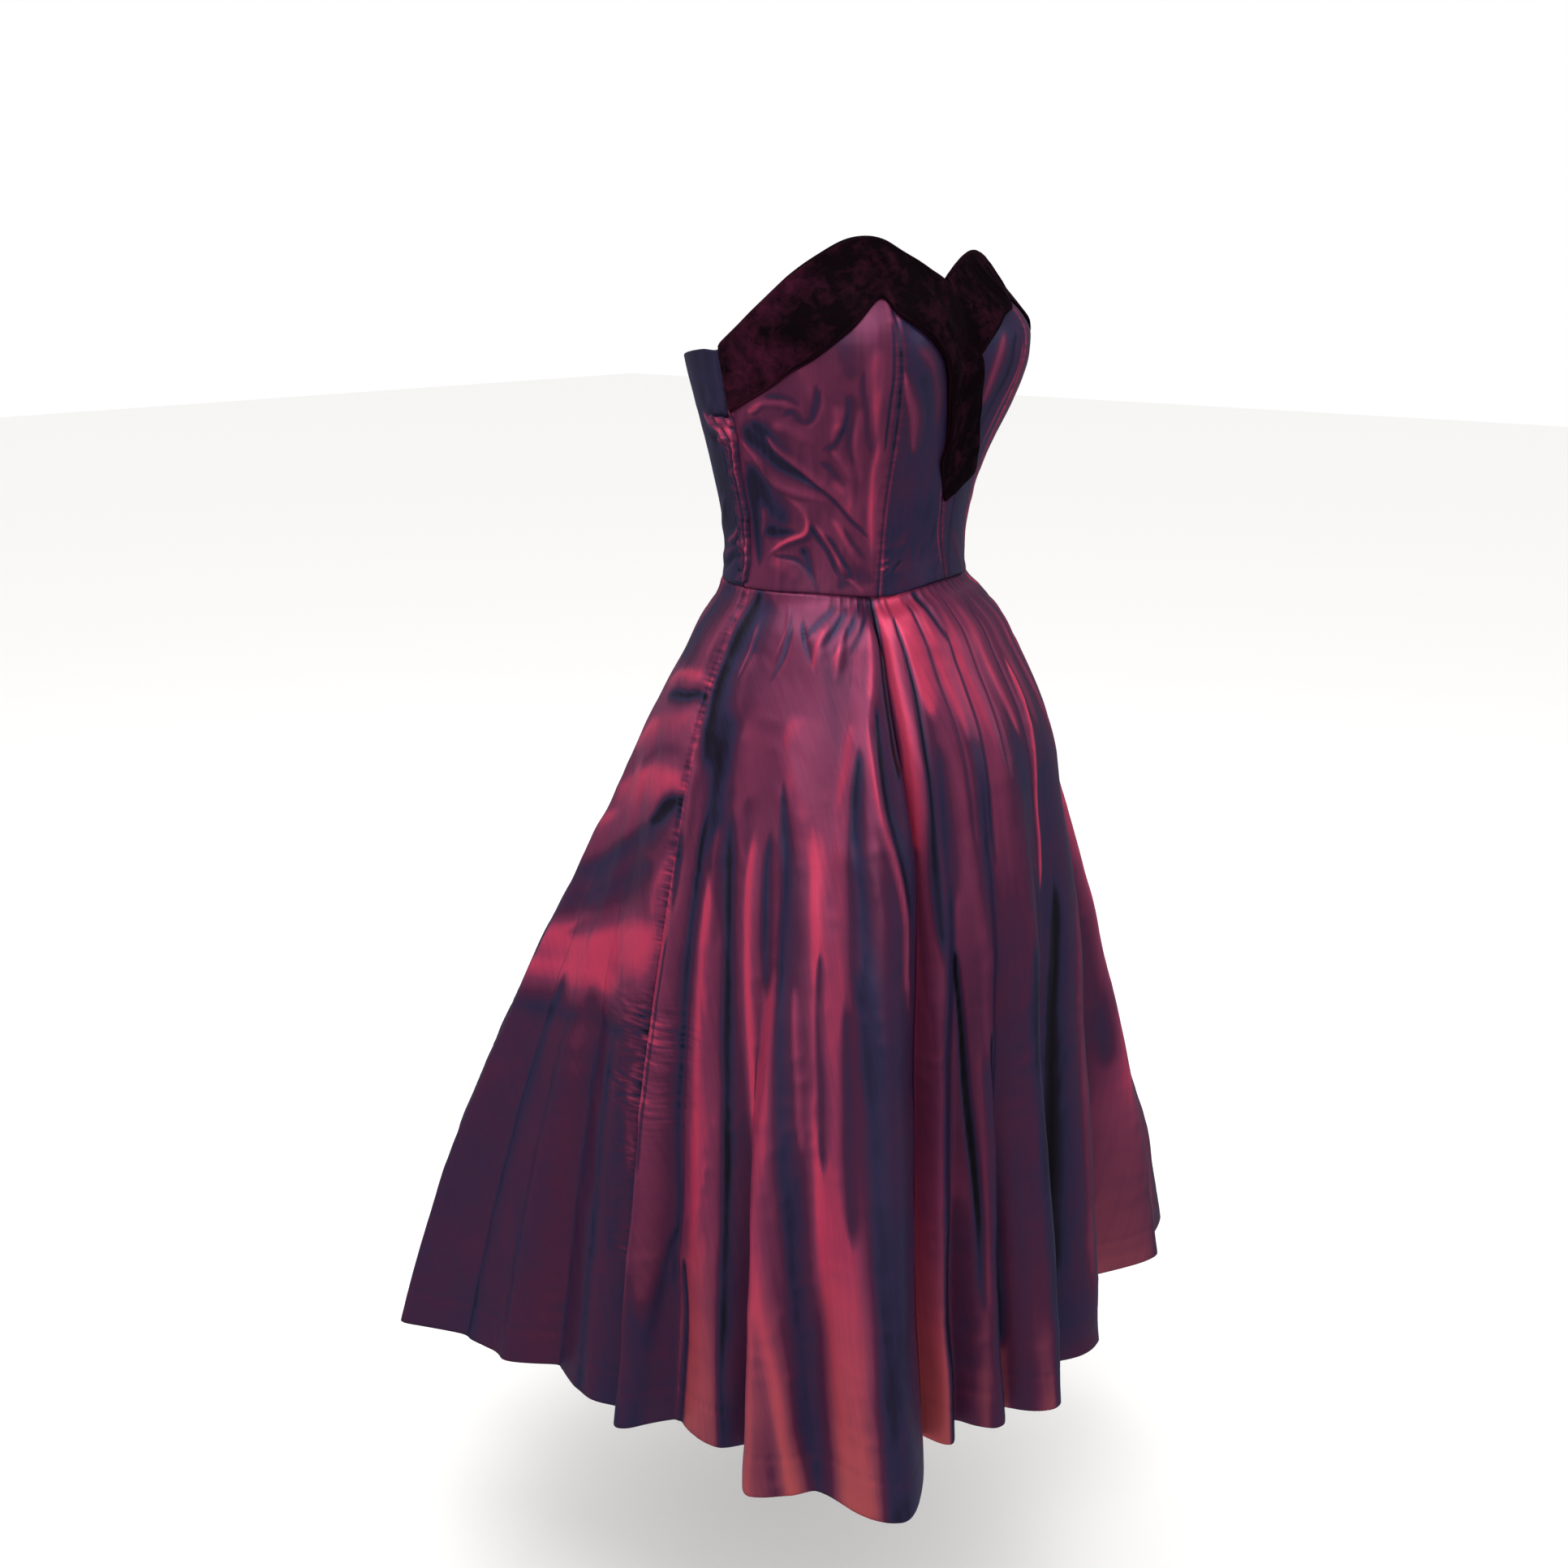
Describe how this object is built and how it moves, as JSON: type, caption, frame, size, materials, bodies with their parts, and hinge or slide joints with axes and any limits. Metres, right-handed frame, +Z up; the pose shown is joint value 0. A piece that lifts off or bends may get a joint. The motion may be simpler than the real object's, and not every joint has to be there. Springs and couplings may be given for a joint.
{
  "type": "cocktail dress",
  "caption": "Strapless sweetheart cocktail dress: fitted princess-seamed bodice, crossed velvet collar band with a long pointed tab, and a full tea-length skirt with deep front pleats.",
  "frame": {"origin": "centre of the waist, where the wearer holds the dress up", "axes": "+Z up, front of the dress towards -Y, the wearer's left towards +X"},
  "size_m": [0.7369, 0.7777, 1.1263],
  "materials": {
    "taffeta_burgundy": "shot taffeta, burgundy with navy, smooth and lustrous",
    "taffeta_navy": "shot taffeta seen from its navy side, smooth and lustrous",
    "velvet_wine": "crushed velvet, dark wine"
  },
  "bodies": {
    "root": {"bodice_centre_front_right": "taffeta_navy", "bodice_centre_front_left": "taffeta_navy", "bodice_side_front_right": "taffeta_burgundy", "bodice_side_front_left": "taffeta_burgundy", "bodice_back_right": "taffeta_navy", "bodice_back_left": "taffeta_navy", "side_placket_lap": "taffeta_burgundy", "skirt_centre_front": "taffeta_burgundy", "skirt_side_front_right": "taffeta_burgundy", "skirt_side_front_left": "taffeta_burgundy", "skirt_back_right": "taffeta_burgundy", "skirt_back_left": "taffeta_burgundy", "velvet_band_right": "velvet_wine", "velvet_band_left": "velvet_wine"}
  },
  "joints": []
}
